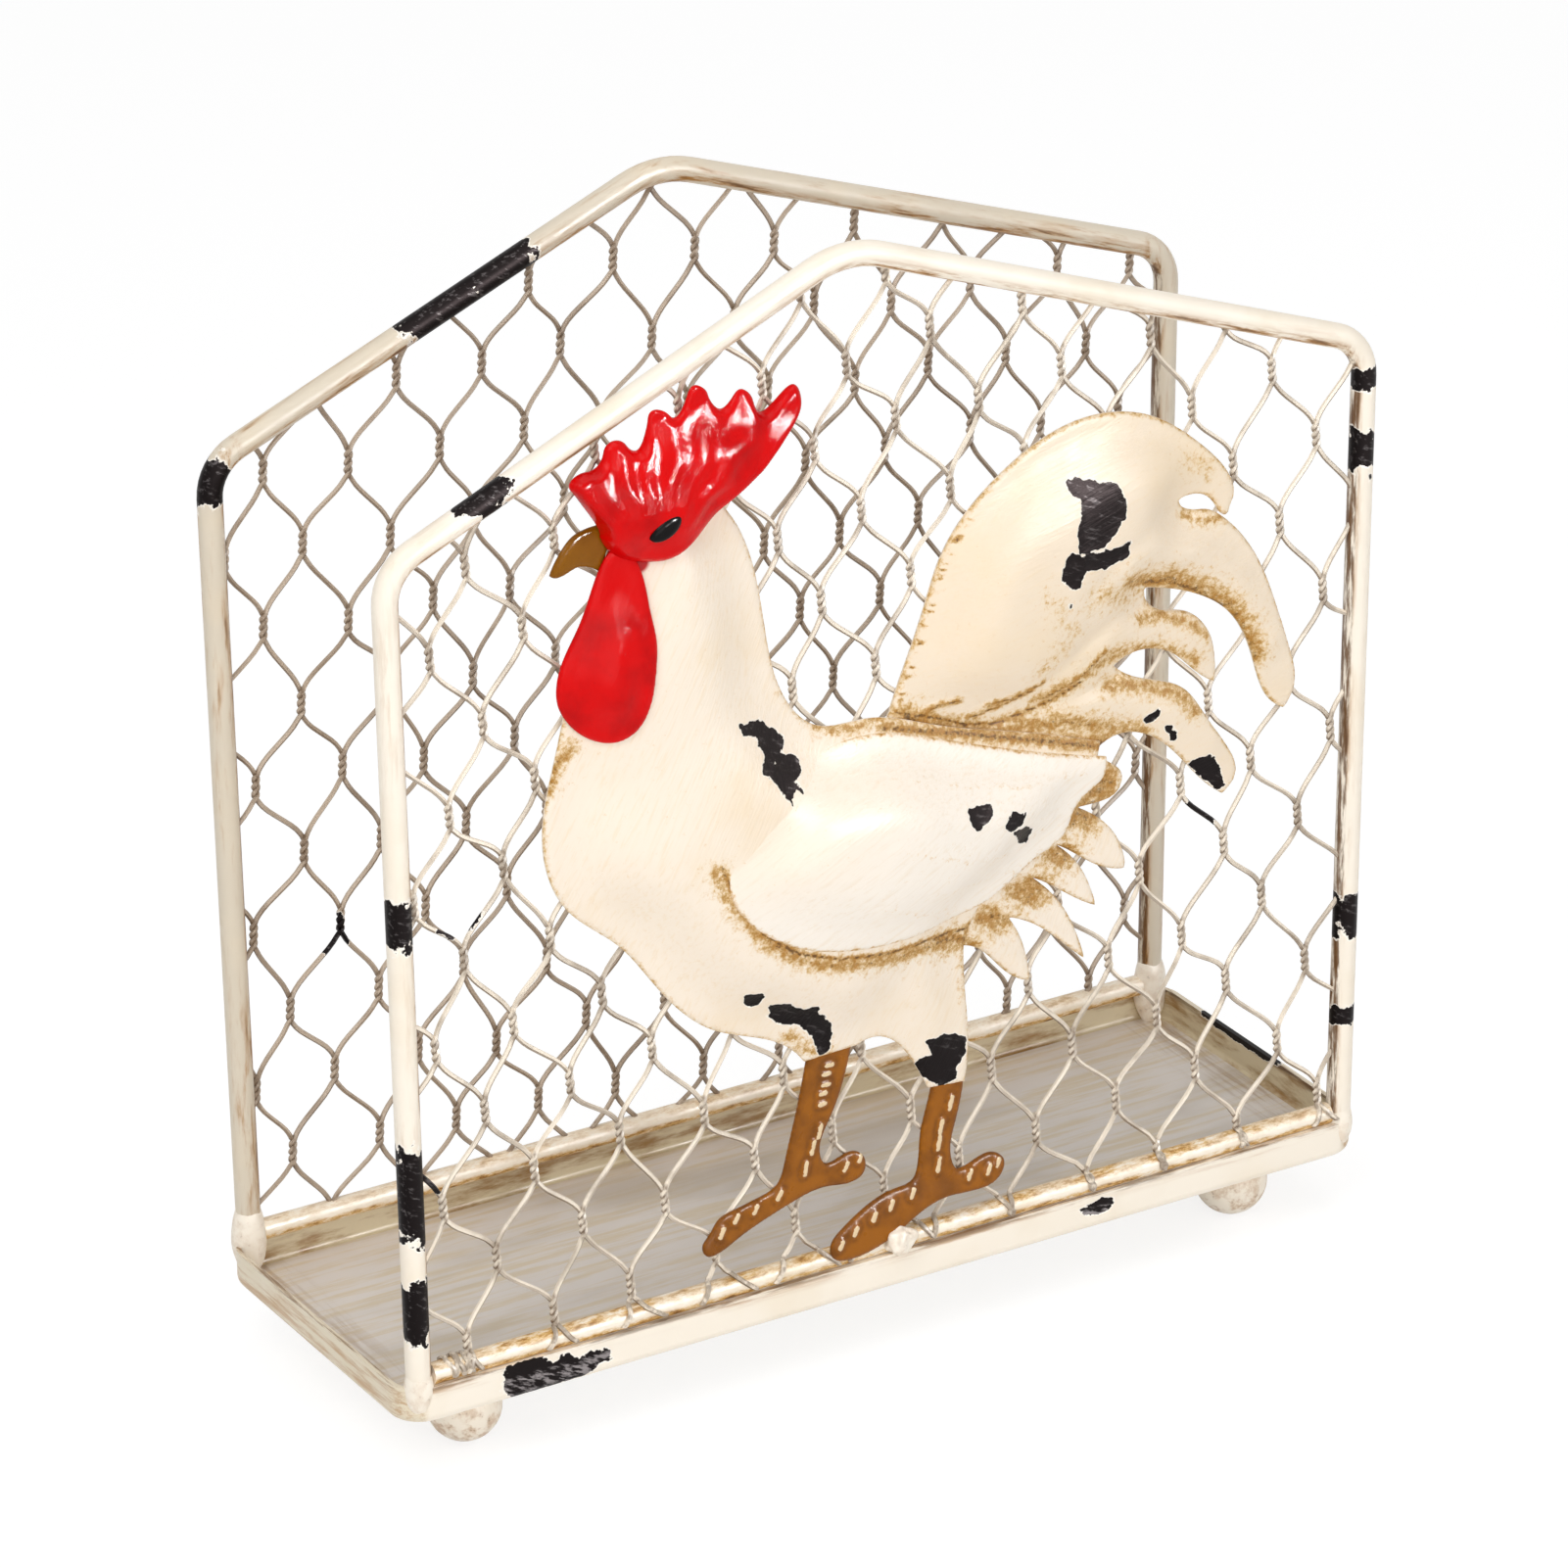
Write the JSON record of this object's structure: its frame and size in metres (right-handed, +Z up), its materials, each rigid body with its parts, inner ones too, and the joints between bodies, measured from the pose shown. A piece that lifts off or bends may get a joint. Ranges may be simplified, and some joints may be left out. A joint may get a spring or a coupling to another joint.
{
  "type": "napkin holder",
  "caption": "Open napkin holder of painted wire and sheet metal: gabled hoops filled with hexagonal netting on a ball-footed tray, with a stamped rooster on the front.",
  "frame": {"origin": "centre of the overall box at the level of the flats under the ball feet", "axes": "+X along the tray's length, to the right as seen from the rooster's side; +Y from the rooster's side to the back; +Z up"},
  "size_m": [0.1772, 0.071, 0.188],
  "materials": {
    "cream_paint": "aged satin paint with brown wash in the corners and black chips",
    "netting_paint": "aged satin paint with brown wash in the twists",
    "rooster_paint": "aged satin paint with ochre wash brushed into the relief and black chips",
    "red_enamel": "glossy enamel",
    "ochre_paint": "glossy ochre-brown paint",
    "black_paint": "gloss paint"
  },
  "bodies": {
    "root": {"base_tray": "cream_paint", "foot_front_left": "cream_paint", "foot_front_right": "cream_paint", "foot_rear_left": "cream_paint", "foot_rear_right": "cream_paint", "front_hoop": "cream_paint", "rear_hoop": "cream_paint", "front_rail": "cream_paint", "rear_rail": "cream_paint", "front_netting": "netting_paint", "rear_netting": "netting_paint", "corner_welds": "cream_paint", "rooster_body": "rooster_paint", "rooster_tail": "rooster_paint", "rooster_wing": "rooster_paint", "rooster_wing_feathers": "rooster_paint", "rooster_comb": "red_enamel", "rooster_wattle": "red_enamel", "rooster_beak": "ochre_paint", "rooster_eye": "black_paint", "rooster_left_leg": "ochre_paint", "rooster_right_leg": "ochre_paint", "toe_weld": "cream_paint"}
  },
  "joints": []
}
